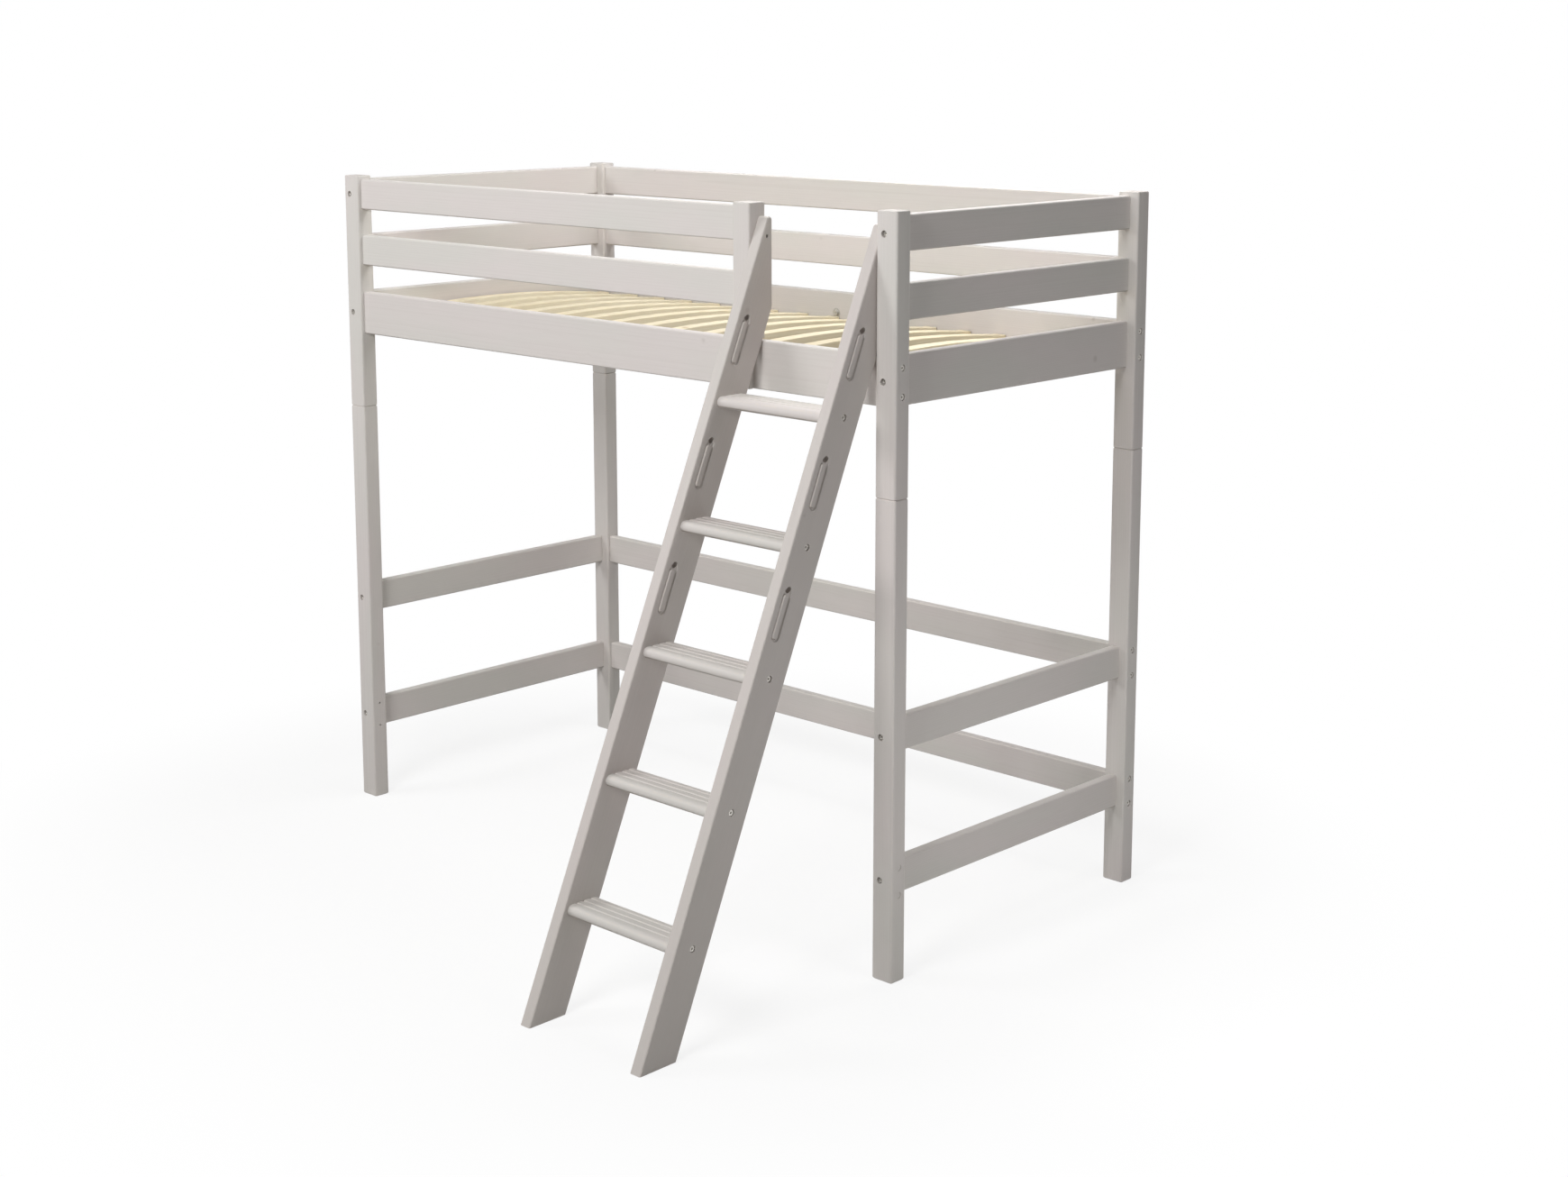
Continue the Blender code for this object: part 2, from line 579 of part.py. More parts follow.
def stringer(side, material, parent):
    """Leaning side of the ladder. Both are alike: the recesses are in the right face of each."""
    back_foot = STRINGER_RUN - LADDER_REACH
    knee = (STRINGER_BACK - back_foot) / LEAN_RATIO
    corners = (
        (-LADDER_REACH, 0, 0),
        (back_foot, 0, 0),
        (STRINGER_BACK, knee, 0),
        (STRINGER_BACK, STRINGER_TOP, STRINGER_TIP_RADIUS),
        (STRINGER_TIP_FRONT, STRINGER_TOP, STRINGER_TIP_RADIUS),
    )
    shape = prism(filleted(corners, TIP_SEGMENTS), "X", STRINGER_THICKNESS)
    rims = []
    for edge in shape.edges:
        first, second = edge.verts
        on_face = first.co.x == second.co.x
        at_foot = max(first.co.z, second.co.z) == 0
        if on_face and not at_foot:
            rims.append(edge)
    bmesh.ops.bevel(
        shape,
        geom=rims,
        offset=STRINGER_EDGE_RADIUS,
        segments=EDGE_SEGMENTS,
        profile=ROUND_PROFILE,
        affect="EDGES",
    )
    left = STILE_RIGHT + SEAT_GAP
    right = BED_LENGTH - POST_X - SEAT_GAP
    outer = left if side == "left" else right
    inward = 1 if side == "left" else -1
    centre_x = outer + inward * STRINGER_THICKNESS / 2
    piece = put(f"{side}_stringer", shape, material, (centre_x, 0, 0), parent)

    recesses = bmesh.new()
    for top in tread_tops()[-RECESS_COUNT:]:
        one = recess_shape(top + RECESS_HOLE_ABOVE_TREAD)
        mesh = bpy.data.meshes.new("recess")
        one.to_mesh(mesh)
        one.free()
        recesses.from_mesh(mesh)
        bpy.data.meshes.remove(mesh)
    combine(piece, recesses, "DIFFERENCE", "_recesses")

    holes = bmesh.new()
    to_inside = AXIS_X * inward
    outer_face = -to_inside * STRINGER_THICKNESS / 2
    for top in tread_tops()[-RECESS_COUNT:]:
        height = top + RECESS_HOLE_ABOVE_TREAD
        level = AXIS_Y * (front_line(height) + RECESS_SETBACK) + AXIS_Z * height
        start = level - AXIS_X * (STRINGER_THICKNESS / 2 + CUT_OVERRUN)
        rod(holes, start, AXIS_X, (RECESS_HOLE_RADIUS, STRINGER_THICKNESS + 2 * CUT_OVERRUN, COUNTERBORE_SIDES))
    for top in tread_tops():
        height = top - TREAD_THICKNESS / 2
        middle = AXIS_Y * (front_line(height) + STRINGER_RUN / 2) + AXIS_Z * height
        counterbored(holes, middle + outer_face, to_inside, STRINGER_THICKNESS)
        socket = AXIS_Y * (front_line(top) + TREAD_NOSE_SETBACK + TREAD_DOWEL_SETBACK) + AXIS_Z * height
        blind(holes, socket - outer_face, -to_inside, SOCKET_RADIUS, SOCKET_DEPTH)
    bolt = AXIS_Y * RAIL_PLANE_FRONT + AXIS_Z * LADDER_BOLT_HEIGHT - outer_face
    head_depth = LADDER_BOLT_SINK + LADDER_BOLT_HEAD_HEIGHT + SEAT_GAP
    head = (LADDER_BOLT_HEAD_RADIUS + PIN_CLEARANCE, head_depth + CUT_OVERRUN, COUNTERBORE_SIDES)
    shank = (BORE_RADIUS, STRINGER_THICKNESS - head_depth + CUT_OVERRUN, COUNTERBORE_SIDES)
    rod(holes, bolt + to_inside * CUT_OVERRUN, -to_inside, head, shank)
    combine(piece, holes, "DIFFERENCE", "_holes")


def ladder_bolt(side, material, parent):
    """Socket-head bolt, sunk in the inner face of a stringer and run into the stile or the post."""
    inward = 1 if side == "left" else -1
    outer = STILE_RIGHT + SEAT_GAP if side == "left" else BED_LENGTH - POST_X - SEAT_GAP
    top = STRINGER_THICKNESS - LADDER_BOLT_SINK
    to_outside = -AXIS_X * inward
    shank = top - LADDER_BOLT_HEAD_HEIGHT + SEAT_GAP + LADDER_BOLT_DEPTH - PIN_CLEARANCE
    shape = bmesh.new()
    head = (LADDER_BOLT_HEAD_RADIUS, LADDER_BOLT_HEAD_HEIGHT, COUNTERBORE_SIDES)
    rod(shape, Vector((0, 0, 0)), to_outside, head, (BOLT_RADIUS, shank, COUNTERBORE_SIDES))
    place = (outer + inward * top, RAIL_PLANE_FRONT, LADDER_BOLT_HEIGHT)
    piece = put(f"{side}_ladder_bolt", shape, material, place, parent)
    socket = bmesh.new()
    blind(socket, Vector((0, 0, 0)), to_outside, LADDER_BOLT_SOCKET_RADIUS, LADDER_BOLT_SOCKET_DEPTH, HEX_SIDES)
    combine(piece, socket, "DIFFERENCE", "_socket")


def tread_outline():
    """Section of a tread about its middle: full round nose, shallow grooves behind it, eased back edges."""
    half_depth = TREAD_DEPTH / 2
    half = TREAD_THICKNESS / 2
    points = []
    for step in range(NOSE_SEGMENTS + 1):
        angle = pi / 2 + pi * step / NOSE_SEGMENTS
        points.append((half - half_depth + half * cos(angle), half * sin(angle)))
    for corner, rise in ((3, -1), (0, 1)):
        for step in range(EDGE_SEGMENTS + 1):
            angle = (corner + step / EDGE_SEGMENTS) * pi / 2
            across = half_depth - TREAD_BACK_RADIUS + TREAD_BACK_RADIUS * cos(angle)
            points.append((across, rise * (half - TREAD_BACK_RADIUS) + TREAD_BACK_RADIUS * sin(angle)))
    for index in range(GROOVE_COUNT):
        middle = half_depth - GROOVE_FROM_BACK - index * GROOVE_PITCH
        points.append((middle + GROOVE_WIDTH / 2, half))
        points.append((middle + GROOVE_FLOOR_WIDTH / 2, half - GROOVE_DEPTH))
        points.append((middle - GROOVE_FLOOR_WIDTH / 2, half - GROOVE_DEPTH))
        points.append((middle - GROOVE_WIDTH / 2, half))
    return points


def tread(number, top, material, parent):
    """Flat tread with a dowel and a bolt hole in each end."""
    height = top - TREAD_THICKNESS / 2
    nose = front_line(top) + TREAD_NOSE_SETBACK
    shape = prism(tread_outline(), "X", TREAD_LENGTH)
    centre_x = STILE_RIGHT + LADDER_WIDTH / 2
    centre_y = nose + TREAD_DEPTH / 2
    piece = put(f"tread_{number}", shape, material, (centre_x, centre_y, height), parent)
    holes = bmesh.new()
    dowels = bmesh.new()
    bolt_y = AXIS_Y * (front_line(height) + STRINGER_RUN / 2 - centre_y)
    dowel_y = AXIS_Y * (TREAD_DOWEL_SETBACK - TREAD_DEPTH / 2)
    for way in (-1, 1):
        end = AXIS_X * way * TREAD_LENGTH / 2
        blind(holes, end + bolt_y, -AXIS_X * way, BORE_RADIUS, BOLT_DEPTH_IN_RAIL)
        dowel(dowels, end + dowel_y, AXIS_X * way)
    combine(piece, holes, "DIFFERENCE", "_holes")
    combine(piece, dowels, "UNION", "_dowels")


def slat_mesh(wall):
    """Slat bent to a crown, with flat ends to sit on the battens, between walls of this thickness."""
    half_length = BED_WIDTH / 2 - wall - SLAT_END_CLEARANCE
    bent = half_length - SLAT_SEAT_LENGTH
    stations = [-half_length]
    stations += [bent * (2 * step / SLAT_SEGMENTS - 1) for step in range(SLAT_SEGMENTS + 1)]
    stations.append(half_length)
    half_width = SLAT_WIDTH / 2
    section = (
        (-half_width, 0),
        (half_width, 0),
        (half_width, SLAT_THICKNESS - SLAT_EDGE_CHAMFER),
        (half_width - SLAT_EDGE_CHAMFER, SLAT_THICKNESS),
        (SLAT_EDGE_CHAMFER - half_width, SLAT_THICKNESS),
        (-half_width, SLAT_THICKNESS - SLAT_EDGE_CHAMFER),
    )
    shape = bmesh.new()
    rings = []
    for along in stations:
        lift = SLAT_CROWN * max(0, 1 - (along / bent) ** 2)
        rings.append([shape.verts.new((across, along, lift + up)) for across, up in section])
    close_rings(shape, rings)
    mesh = bpy.data.meshes.new("slat")
    shape.to_mesh(mesh)
    shape.free()
    return mesh


def slatted_base(material, parent):
    """Battens along the bed rails and the slats across them."""
    batten_length = BED_LENGTH - 2 * POST_X - 2 * BATTEN_END_CLEARANCE
    outline = rounded_rectangle(BATTEN_WIDTH, BATTEN_HEIGHT, BATTEN_EDGE_RADIUS, EDGE_SEGMENTS)
    inner_face = RAIL_THICKNESS / 2 + SEAT_GAP + BATTEN_WIDTH / 2
    batten_height = BATTEN_TOP - BATTEN_HEIGHT / 2
    for row, place in (("front", RAIL_PLANE_FRONT + inner_face), ("back", RAIL_PLANE_BACK - inner_face)):
        shape = prism(outline, "X", batten_length)
        put(f"{row}_slat_batten", shape, material, (BED_LENGTH / 2, place, batten_height), parent)
    between_rails = slat_mesh(RAIL_PLANE_FRONT + RAIL_THICKNESS / 2)
    between_posts = slat_mesh(POST_Y)
    board_left = END_RAIL_INSET + RAIL_THICKNESS / 2
    board_right = BED_LENGTH - POST_X + END_RAIL_INSET - RAIL_THICKNESS / 2
    first = board_left + SLAT_SIDE_CLEARANCE + SLAT_WIDTH / 2
    last = board_right - SLAT_SIDE_CLEARANCE - SLAT_WIDTH / 2
    for index in range(SLAT_COUNT):
        across = first + (last - first) * index / (SLAT_COUNT - 1)
        place = (across, BED_WIDTH / 2, BATTEN_TOP + SEAT_GAP)
        reach = abs(across - BED_LENGTH / 2) + SLAT_WIDTH / 2 + SLAT_SIDE_CLEARANCE
        mesh = between_posts if reach > BED_LENGTH / 2 - POST_X else between_rails
        put_mesh(f"slat_{index + 1:02d}", mesh, material, place, parent)


def main():
    clear_scene()
    washed_pine = finish("washed_pine", "CFCAC5", 0.55)
    raw_pine = finish("raw_pine", "E9DDBE", 0.6)
    steel = finish("zinc_plated_steel", "B9BBBD", 0.35, 1.0)
    beech = finish("beech", "CDAA7D", 0.6)

    bed = bpy.data.objects.new("loft_bed", None)
    bpy.context.scene.collection.objects.link(bed)
    bed.location = (-BED_LENGTH / 2, (LADDER_REACH - BED_WIDTH) / 2, 0)

    for row in ("front", "back"):
        for side in ("left", "right"):
            post(side, row, "lower", washed_pine, bed)
            post(side, row, "upper", washed_pine, bed)
            seam_pin(side, row, beech, bed)
    long_rails(washed_pine, bed)
    for side in ("left", "right"):
        end_rails(side, washed_pine, bed)
    stile(washed_pine, bed)
    for side in ("left", "right"):
        stringer(side, washed_pine, bed)
        ladder_bolt(side, steel, bed)
    for number, top in enumerate(tread_tops(), 1):
        tread(number, top, washed_pine, bed)
    slatted_base(raw_pine, bed)


main()
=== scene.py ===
"""Loft bed of grey-washed pine with a leaning ladder and slats of raw pine, in a plain white studio."""

import math
import random

import bmesh
import bpy
from mathutils import Matrix, Vector


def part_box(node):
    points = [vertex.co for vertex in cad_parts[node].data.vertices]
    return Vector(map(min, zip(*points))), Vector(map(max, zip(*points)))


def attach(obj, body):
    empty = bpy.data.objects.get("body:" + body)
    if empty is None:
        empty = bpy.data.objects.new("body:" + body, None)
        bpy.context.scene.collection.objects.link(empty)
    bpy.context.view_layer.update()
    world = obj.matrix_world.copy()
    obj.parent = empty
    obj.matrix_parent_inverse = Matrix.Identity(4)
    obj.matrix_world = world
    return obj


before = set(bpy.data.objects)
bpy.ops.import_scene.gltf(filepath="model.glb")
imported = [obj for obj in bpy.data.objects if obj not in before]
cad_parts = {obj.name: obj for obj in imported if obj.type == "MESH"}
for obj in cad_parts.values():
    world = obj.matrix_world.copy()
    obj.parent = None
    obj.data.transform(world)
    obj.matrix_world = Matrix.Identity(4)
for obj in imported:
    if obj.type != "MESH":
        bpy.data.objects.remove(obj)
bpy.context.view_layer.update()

BODY = "root"
AXIS_X = Vector((1, 0, 0))
AXIS_Y = Vector((0, 1, 0))
AXIS_Z = Vector((0, 0, 1))

# Camera, in metres and degrees. It looks across the front right corner, from just above the mattress.
CAMERA_PLACE = (4.5025, -4.1154, 2.2294)
CAMERA_PITCH = 9.5426
CAMERA_YAW = 43.572
CAMERA_LENS = 53.473
CAMERA_SHIFT = -0.10
SENSOR_WIDTH = 36.0

# Bolt heads and plugs, in metres. Each kind of bolt is sunk to its own depth in its counterbore.
HEAD_RADIUS = 0.0074
HEAD_CHAMFER = 0.0006
HEAD_RIM = 0.0022
HEAD_DISH = 0.0005
SOCKET_ACROSS = 0.0056
SOCKET_DEPTH = 0.0030
HEAD_STEPS = 36
COUNTERBORE_DEPTH = 0.010
STILE_COUNTERBORE_DEPTH = 0.005
PAIR_OFFSET = 0.034
STILE_BOLT_OFFSET = 0.030
POST_BOLT_SUNK = 0.0060
SIDE_BOLT_SUNK = 0.0028
STILE_BOLT_SUNK = 0.0012
LOW_TREAD_BOLT_SUNK = 0.0024
HIGH_TREAD_BOLT_SUNK = 0.0042
PLUG_RADIUS = 0.0083
PLUG_SUNK = 0.0008
PLUG_DOME = 0.0010
PLUG_SHARES = (1.0, 0.85, 0.6, 0.3)

# Bolt in the middle of the wall side bed rail, in metres.
MIDDLE_SEAT_DEPTH = 0.003
MIDDLE_BARREL_RADIUS = 0.0085
MIDDLE_BARREL_HEIGHT = 0.0070
MIDDLE_WASHER_RADIUS = 0.0140
MIDDLE_WASHER_HEIGHT = 0.0016

# Ladder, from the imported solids: its slope as run over rise, and the depth of a stringer along the floor.
TREADS = 5
LOW_TREADS = 2
LEAN = 0.4353
STRINGER_RUN = 0.111
FOOT_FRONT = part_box("left_stringer")[0].y

# Filler strips in the stringers' recesses, in metres. A strip's ends are measured down the lean from the hole
# above it. It is shifted towards the front wall of its recess, and stands higher than the recess is deep.
RECESSES = 3
RECESS_HOLE_ABOVE_TREAD = 0.1805
RECESS_SETBACK = 0.0335
RECESS_DEPTH = 0.004
STRIP_UPPER_END = 0.0195
STRIP_LOWER_END = 0.1090
STRIP_SHIFT = 0.0038
STRIP_HALF_WIDTH = 0.0080
STRIP_HEIGHT = 0.0060
STRIP_EASING = 0.0026
STRIP_STEPS = 40

# Pattern sizes of pine, in metres. Values in brackets run along the board, across it and through it.
KNOT_STRETCH = (0.34, 1.0, 1.0)
KNOT_SPACING = 0.080
KNOT_WOBBLE = 0.014
KNOT_RAGGED = 0.006
KNOT_RARITY = 0.72
KNOT_LEAST = 0.004
KNOT_MOST = 0.010
NO_KNOT = 0.0001
RING_STRETCH = (0.05, 1.0, 1.0)
RING_WIDTH = 0.0046
RING_WAVER = 0.045
FIBRE_SCALE = (9.0, 330.0, 330.0)
CLOUD_SCALE = (2.2, 7.0, 7.0)
GRAIN_RELIEF = 0.00025

# Where pine's marks begin and where they are full. A knot's are in its radii, those of an arris, an end and
# the painted shade under the lower arrises are components of the normal, and the rest are levels of noise.
KNOT_CORE = (1.7, 0.7)
KNOT_REACH = (3.0, 1.0)
ARRIS_TURN = (0.90, 0.74)
END_TURN = (0.88, 0.95)
PAINTED_SHADE_TURN = (-0.30, -0.70)
RUBBED_LEVELS = (0.40, 0.62)
FIBRE_LEVELS = (0.42, 0.72)
CLOUD_LEVELS = (0.36, 0.64)
SHEEN_LEVELS = (0.3, 0.7)

# Growth rings: how much a knot pushes them aside, how far they waver, and how thin their dark part is.
KNOT_SWIRL = 4.0
RING_DISTORTION = 5.0
LATE_SHARPNESS = 3.0
WAVE_RADIANS = 20

# How strongly each mark shows in washed and in bare pine, and how smooth and how rough their surfaces are.
# One of these marks is painted shade along the lower arrises.
GREY_SHARES = {
    "early": 0.30, "late": 0.09, "fibre": 0.06, "knot": 0.24, "worn": 0.40, "run": 0.80, "end": 0.45,
    "relief": 0.5, "bump": 0.25, "smooth": 0.46, "rough": 0.62,
}
RAW_SHARES = {
    "early": 0.30, "late": 0.42, "fibre": 0.24, "knot": 0.60, "worn": 0.25, "run": 0.10, "end": 0.50,
    "relief": 0.7, "bump": 0.50, "smooth": 0.55, "rough": 0.72,
}

# Index of refraction of pine, bare or thinly washed.
WOOD_IOR = 1.45

# Patterns of steel and beech: sizes in metres and per metre, limits of their noise, and roughness.
ZINC_CLOUD = 0.004
ZINC_GRIT = 0.0004
ZINC_RELIEF = 0.00005
ZINC_LEVELS = (0.3, 0.7)
ZINC_ROUGHNESS = (0.28, 0.46)
BEECH_FLECK_SCALE = (160.0, 900.0, 900.0)
BEECH_LEVELS = (0.45, 0.70)
BEECH_ROUGHNESS = 0.5
FINE_BUMP = 0.4

# How far a board's heart lies from its middle, in metres, and the seed of the draws that place it.
GRAIN_SEED = 11
NEAREST_HEART = 0.020
FURTHEST_HEART = 0.070

# How far boards darken towards the latewood's colour, as a share. The stringers are the darkest.
BOARD_DARKER = 0.08
STRINGER_DARKER = 0.36

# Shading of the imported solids, in metres and degrees. Treads have shallow grooves, so their limit is lower.
WELD_DISTANCE = 1e-5
CREASE = 50
TREAD_CREASE = 34
FITTING_CREASE = 30
FACE_WEIGHT = 100

# Studio, in metres and watts. Each lamp has a name, a place, where it aims, a width, a height and its watts.
# The low one lights the right end, and none of them shows to the camera.
STUDIO_AIM = (0.0, 0.0, 1.2)
LAMPS = (
    ("front_right_lamp", (1.2, -4.0, 3.4), STUDIO_AIM, 1.8, 1.4, 120.0),
    ("front_left_lamp", (-2.8, -3.2, 3.4), STUDIO_AIM, 1.8, 1.4, 82.0),
    ("right_lamp", (3.8, 0.4, 3.2), STUDIO_AIM, 1.8, 1.4, 15.0),
    ("top_lamp", (0.3, 0.9, 3.3), STUDIO_AIM, 1.8, 1.4, 44.0),
    ("low_right_lamp", (2.2, 0.2, 0.45), (0.97, 0.45, 0.5), 1.0, 0.7, 3.6),
)
WORLD_LIGHT = 0.03
FLOOR_SIDE = 60.0
FLOOR_CELLS = 4
PAPER_ROUGHNESS = 0.5

# The share of the floor's own shading that shows near the bed, and the distances between which it fades out.
FLOOR_OWN_SHARE = 0.18
SHADOW_NEAR = 1.2
SHADOW_FAR = 2.2

# Sockets of a node that mixes colours: the colour below, the one over it, and the result.
BELOW = 6
OVER = 7
MIXED = 2


def linear(code):
    """An sRGB hex colour as linear red, green, blue and alpha."""
    shares = [int(code[i:i + 2], 16) / 255 for i in (0, 2, 4)]
    return [s / 12.92 if s <= 0.04045 else ((s + 0.055) / 1.055) ** 2.4 for s in shares] + [1.0]


def add(tree, kind, inputs=(), **settings):
    """Adds a shader node. A socket given as an input value is linked, and any other value is set."""
    node = tree.nodes.new("ShaderNode" + kind)
    for name, value in settings.items():
        setattr(node, name, value)
    for name, value in dict(inputs).items():
        if isinstance(value, bpy.types.NodeSocket):
            tree.links.new(value, node.inputs[name])
        else:
            node.inputs[name].default_value = value
    return node


def new_material(name):
    """A material with an empty node tree, and the tree."""
    material = bpy.data.materials.new(name)
    material.use_nodes = True
    material.node_tree.nodes.clear()
    return material, material.node_tree


def pine(name, early, late, clouds, knot, worn, cut_end, shares):
    """Pine, planed along the grain and rounded at the edges. Each board reads its own grain, heart and tone.

    The eye sees growth rings as faint lines along the board, fine fibres, a few soft knots, softly uneven
    colour, arrises where the finish has worn thin, painted shade as dark lines along the lower ones,
    and darker ends where the grain is cut across.
    """
    material, tree = new_material(name)
    place = add(tree, "TexCoord")
    heart = add(tree, "Attribute", attribute_type="OBJECT", attribute_name="heart")
    turn = add(tree, "Attribute", attribute_type="OBJECT", attribute_name="grain_turn")
    darker = add(tree, "Attribute", attribute_type="OBJECT", attribute_name="darker")
    from_heart = add(
        tree, "VectorMath", {0: place.outputs["Object"], 1: heart.outputs["Vector"]}, operation="SUBTRACT",
    )
    turned = [
        add(
            tree, "VectorRotate", {"Vector": vector, "Rotation": turn.outputs["Vector"]},
            rotation_type="EULER_XYZ", invert=True,
        )
        for vector in (place.outputs["Object"], from_heart.outputs[0], place.outputs["Normal"])
    ]
    board, rings_at, normal = [node.outputs[0] for node in turned]

    # A knot every metre or so, up to about 20 mm across and soft at its rim.
    spread = add(tree, "VectorMath", {0: board, 1: KNOT_STRETCH}, operation="MULTIPLY")
    cells = add(tree, "TexVoronoi", {"Vector": spread.outputs[0], "Scale": 1 / KNOT_SPACING})
    offset = add(
        tree, "VectorMath", {0: spread.outputs[0], 1: cells.outputs["Position"]}, operation="SUBTRACT",
    )
    real = add(tree, "VectorMath", {0: offset.outputs[0], 1: KNOT_STRETCH}, operation="DIVIDE")
    far = add(tree, "VectorMath", {0: real.outputs[0]}, operation="LENGTH")
    wobble = add(tree, "TexNoise", {"Vector": board, "Scale": 1 / KNOT_WOBBLE, "Detail": 2.0})
    ragged = add(
        tree, "Math", {0: wobble.outputs["Fac"], 1: KNOT_RAGGED, 2: far.outputs["Value"]},
        operation="MULTIPLY_ADD",
    )
    chance = add(tree, "SeparateColor", {"Color": cells.outputs["Color"]})
    there = add(tree, "Math", {0: chance.outputs["Red"], 1: KNOT_RARITY}, operation="GREATER_THAN")
    size = add(
        tree, "MapRange", {"Value": chance.outputs["Green"], "To Min": KNOT_LEAST, "To Max": KNOT_MOST},
    )
    radius = add(
        tree, "Math", {0: there.outputs[0], 1: size.outputs[0], 2: NO_KNOT}, operation="MULTIPLY_ADD",
    )
    ratio = add(tree, "Math", {0: ragged.outputs[0], 1: radius.outputs[0]}, operation="DIVIDE")
    core = add(
        tree, "MapRange",
        {"Value": ratio.outputs[0], "From Min": KNOT_CORE[0], "From Max": KNOT_CORE[1]},
        interpolation_type="SMOOTHSTEP",
    )
    bulge = add(
        tree, "MapRange",
        {"Value": ratio.outputs[0], "From Min": KNOT_REACH[0], "From Max": KNOT_REACH[1],
         "To Max": KNOT_SWIRL},
        interpolation_type="SMOOTHSTEP",
    )

    # Growth rings round the heart, stretched along the board so that they waver slowly. A wave of scale 1
    # turns through WAVE_RADIANS in each metre.
    slow = add(tree, "VectorMath", {0: rings_at, 1: RING_STRETCH}, operation="MULTIPLY")
    rings = add(
        tree, "TexWave",
        {"Vector": slow.outputs[0], "Scale": 2 * math.pi / (WAVE_RADIANS * RING_WIDTH),
         "Distortion": RING_DISTORTION, "Detail": 2.0, "Detail Scale": RING_WIDTH / RING_WAVER,
         "Detail Roughness": 0.5, "Phase Offset": bulge.outputs[0]},
        wave_type="RINGS", rings_direction="X", wave_profile="SAW",
    )
    latewood = add(tree, "Math", {0: rings.outputs["Fac"], 1: LATE_SHARPNESS}, operation="POWER")

    # Real fibres are a tenth as wide. They are drawn this coarse so that they show.
    fibre_at = add(tree, "VectorMath", {0: board, 1: FIBRE_SCALE}, operation="MULTIPLY")
    fibres = add(
        tree, "TexNoise", {"Vector": fibre_at.outputs[0], "Scale": 1.0, "Detail": 3.0, "Roughness": 0.6},
    )

    # The finish lies unevenly, in patches a hand or two wide that follow the grain.
    cloud_at = add(tree, "VectorMath", {0: board, 1: CLOUD_SCALE}, operation="MULTIPLY")
    patches = add(tree, "TexNoise", {"Vector": cloud_at.outputs[0], "Scale": 1.0, "Detail": 2.0})
    tone = add(
        tree, "MapRange",
        {"Value": patches.outputs["Fac"], "From Min": CLOUD_LEVELS[0], "From Max": CLOUD_LEVELS[1]},
    )

    late_share = add(tree, "Math", {0: latewood.outputs[0], 1: shares["late"]}, operation="MULTIPLY")
    fibre_share = add(
        tree, "MapRange",
        {"Value": fibres.outputs["Fac"], "From Min": FIBRE_LEVELS[0], "From Max": FIBRE_LEVELS[1],
         "To Max": shares["fibre"]},
    )
    knot_share = add(tree, "Math", {0: core.outputs[0], 1: shares["knot"]}, operation="MULTIPLY")

    # A face square to the board has one large normal component. Rounded arrises have none.
    upright = add(tree, "VectorMath", {0: normal}, operation="ABSOLUTE")
    sides = add(tree, "SeparateXYZ", {"Vector": upright.outputs[0]})
    larger = add(tree, "Math", {0: sides.outputs["X"], 1: sides.outputs["Y"]}, operation="MAXIMUM")
    largest = add(tree, "Math", {0: larger.outputs[0], 1: sides.outputs["Z"]}, operation="MAXIMUM")
    arris = add(
        tree, "MapRange", {"Value": largest.outputs[0], "From Min": ARRIS_TURN[0], "From Max": ARRIS_TURN[1]},
    )
    rubbed = add(
        tree, "MapRange",
        {"Value": wobble.outputs["Fac"], "From Min": RUBBED_LEVELS[0], "From Max": RUBBED_LEVELS[1],
         "To Max": shares["worn"]},
    )
    worn_share = add(tree, "Math", {0: arris.outputs[0], 1: rubbed.outputs[0]}, operation="MULTIPLY")

    # Painted shade: arrises that face down are darkened, standing in for the shade that falls under them.
    level = add(tree, "SeparateXYZ", {"Vector": place.outputs["Normal"]})
    lower = add(
        tree, "MapRange",
        {"Value": level.outputs["Z"], "From Min": PAINTED_SHADE_TURN[0], "From Max": PAINTED_SHADE_TURN[1],
         "To Max": shares["run"]},
    )
    run_share = add(tree, "Math", {0: arris.outputs[0], 1: lower.outputs[0]}, operation="MULTIPLY")

    # The ends of a board, where the grain is cut across.
    end_share = add(
        tree, "MapRange",
        {"Value": sides.outputs["X"], "From Min": END_TURN[0], "From Max": END_TURN[1],
         "To Max": shares["end"]},
    )

    # The marks lie over each other in this order, each as a share of its colour.
    colour = linear(clouds[0])
    for share, code in (
        (tone.outputs[0], clouds[1]),
        (shares["early"], early),
        (darker.outputs["Fac"], late),
        (late_share.outputs[0], late),
        (fibre_share.outputs[0], late),
        (knot_share.outputs[0], knot),
        (worn_share.outputs[0], worn),
        # Painted shade along the lower arrises, in the knot's colour.
        (run_share.outputs[0], knot),
        (end_share.outputs[0], cut_end),
    ):
        mixed = add(tree, "Mix", {"Factor": share, BELOW: colour, OVER: linear(code)}, data_type="RGBA")
        colour = mixed.outputs[MIXED]

    relief = add(
        tree, "Math", {0: latewood.outputs[0], 1: shares["relief"], 2: fibres.outputs["Fac"]},
        operation="MULTIPLY_ADD",
    )
    bump = add(
        tree, "Bump",
        {"Height": relief.outputs[0], "Distance": GRAIN_RELIEF, "Strength": shares["bump"]},
    )
    sheen = add(
        tree, "MapRange",
        {"Value": fibres.outputs["Fac"], "From Min": SHEEN_LEVELS[0], "From Max": SHEEN_LEVELS[1],
         "To Min": shares["smooth"], "To Max": shares["rough"]},
    )
    surface = add(
        tree, "BsdfPrincipled",
        {"Base Color": colour, "Roughness": sheen.outputs[0], "Normal": bump.outputs[0], "IOR": WOOD_IOR},
    )
    add(tree, "OutputMaterial", {"Surface": surface.outputs[0]})
    return material


